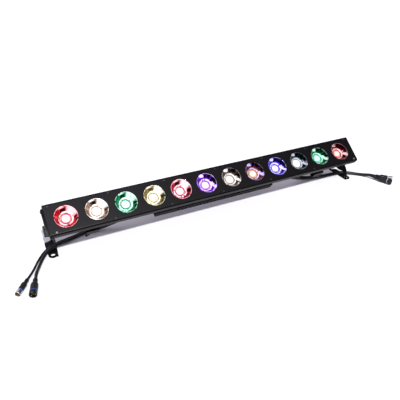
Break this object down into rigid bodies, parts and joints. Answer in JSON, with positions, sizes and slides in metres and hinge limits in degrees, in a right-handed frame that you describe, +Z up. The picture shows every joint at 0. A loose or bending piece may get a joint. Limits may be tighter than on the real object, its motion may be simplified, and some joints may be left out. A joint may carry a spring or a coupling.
{
  "type": "led strip batten",
  "caption": "Straight black stage-lighting batten with a row of round reflector lamps, standing on two tilting end brackets, with cord pigtails at both ends.",
  "frame": {"origin": "on the floor under the middle of the batten without its cords (centre of the bottom of that box)", "axes": "+X along the bar towards its right end, +Y away from the lit side, +Z up; the lit face leans back 52 degrees from upright"},
  "size_m": [1.2508, 0.2287, 0.1373],
  "materials": {
    "panel_paint": "fine-texture black powder coat",
    "heatsink_black": "black anodised extrusion",
    "cap_paint": "black powder coat on sheet",
    "bracket_paint": "semi-gloss black powder coat",
    "black_plastic": "moulded black nylon",
    "connector_plastic": "moulded black",
    "button_plastic": "satin dark grey",
    "cord_rubber": "black rubber jacket",
    "reflector_chrome": "vacuum-metallised, mirror bright",
    "screw_steel": "zinc plated",
    "led_circuit_board": "white solder mask on an aluminium core",
    "circuit_board": "green solder mask",
    "supply_case": "plain sheet",
    "display_window": "clear tinted",
    "lamp_01": "COB emitter, lit",
    "lamp_02": "COB emitter, lit",
    "lamp_03": "COB emitter, lit",
    "lamp_04": "COB emitter, lit",
    "lamp_05": "COB emitter, lit",
    "lamp_06": "COB emitter, lit",
    "lamp_07": "COB emitter, lit",
    "lamp_08": "COB emitter, lit",
    "lamp_09": "COB emitter, lit",
    "lamp_10": "COB emitter, lit",
    "lamp_11": "COB emitter, lit",
    "lamp_12": "COB emitter, lit"
  },
  "bodies": {
    "housing": {"front_panel": "panel_paint", "power_box": "panel_paint", "rear_housing": "heatsink_black", "left_end_cap": "cap_paint", "right_end_cap": "cap_paint", "left_hanger": "bracket_paint", "right_hanger": "bracket_paint", "control_panel": "black_plastic", "left_power_gland": "black_plastic", "left_data_gland": "black_plastic", "right_power_gland": "black_plastic", "right_data_gland": "black_plastic", "left_power_connector": "connector_plastic", "left_data_connector": "connector_plastic", "right_power_connector": "connector_plastic", "right_data_connector": "connector_plastic", "left_power_cord": "cord_rubber", "left_data_cord": "cord_rubber", "right_power_cord": "cord_rubber", "right_data_cord": "cord_rubber", "reflector_01": "reflector_chrome", "reflector_02": "reflector_chrome", "reflector_03": "reflector_chrome", "reflector_04": "reflector_chrome", "reflector_05": "reflector_chrome", "reflector_06": "reflector_chrome", "reflector_07": "reflector_chrome", "reflector_08": "reflector_chrome", "reflector_09": "reflector_chrome", "reflector_10": "reflector_chrome", "reflector_11": "reflector_chrome", "reflector_12": "reflector_chrome", "led_01": "lamp_01", "led_02": "lamp_02", "led_03": "lamp_03", "led_04": "lamp_04", "led_05": "lamp_05", "led_06": "lamp_06", "led_07": "lamp_07", "led_08": "lamp_08", "led_09": "lamp_09", "led_10": "lamp_10", "led_11": "lamp_11", "led_12": "lamp_12", "left_face_screw": "screw_steel", "right_face_screw": "screw_steel", "led_board": "led_circuit_board", "control_board": "circuit_board", "power_supply": "supply_case", "display_window": "display_window"},
    "left_bracket": {"left_bracket": "bracket_paint"},
    "left_clamp_lever": {"left_clamp_lever": "black_plastic"},
    "left_knob": {"left_knob": "black_plastic"},
    "menu_button_1": {"menu_button_1": "button_plastic"},
    "menu_button_2": {"menu_button_2": "button_plastic"},
    "menu_button_3": {"menu_button_3": "button_plastic"},
    "menu_button_4": {"menu_button_4": "button_plastic"},
    "right_bracket": {"right_bracket": "bracket_paint"},
    "right_clamp_lever": {"right_clamp_lever": "black_plastic"},
    "right_knob": {"right_knob": "black_plastic"}
  },
  "joints": [
    {"name": "left_bracket_tilt", "type": "hinge", "parent": "housing", "child": "left_bracket", "pos_m": [-0.4898, 0.00415, 0.06373], "axis": [1, 0, 0], "range_deg": [-24, 24]},
    {"name": "right_bracket_tilt", "type": "hinge", "parent": "housing", "child": "right_bracket", "pos_m": [0.4898, 0.00415, 0.06373], "axis": [1, 0, 0], "range_deg": [-24, 24]},
    {"name": "left_knob_turn", "type": "hinge", "parent": "housing", "child": "left_knob", "pos_m": [-0.506, 0.00415, 0.06373], "axis": [-1, 0, 0], "range_deg": [0, 270]},
    {"name": "right_knob_turn", "type": "hinge", "parent": "housing", "child": "right_knob", "pos_m": [0.506, 0.00415, 0.06373], "axis": [1, 0, 0], "range_deg": [0, 270]},
    {"name": "left_lever_turn", "type": "hinge", "parent": "housing", "child": "left_clamp_lever", "pos_m": [-0.379, 0.00949, 0.02603], "axis": [0, 0.6157, -0.788], "range_deg": [0, 100]},
    {"name": "right_lever_turn", "type": "hinge", "parent": "housing", "child": "right_clamp_lever", "pos_m": [0.379, 0.00949, 0.02603], "axis": [0, -0.6157, 0.788], "range_deg": [0, 100]},
    {"name": "menu_button_1_press", "type": "slide", "parent": "housing", "child": "menu_button_1", "axis": [0, -0.6157, 0.788], "range_m": [0, 0.0012], "stiffness_N_per_m": 400, "springref_m": -0.0006},
    {"name": "menu_button_2_press", "type": "slide", "parent": "housing", "child": "menu_button_2", "axis": [0, -0.6157, 0.788], "range_m": [0, 0.0012], "stiffness_N_per_m": 400, "springref_m": -0.0006},
    {"name": "menu_button_3_press", "type": "slide", "parent": "housing", "child": "menu_button_3", "axis": [0, -0.6157, 0.788], "range_m": [0, 0.0012], "stiffness_N_per_m": 400, "springref_m": -0.0006},
    {"name": "menu_button_4_press", "type": "slide", "parent": "housing", "child": "menu_button_4", "axis": [0, -0.6157, 0.788], "range_m": [0, 0.0012], "stiffness_N_per_m": 400, "springref_m": -0.0006}
  ]
}
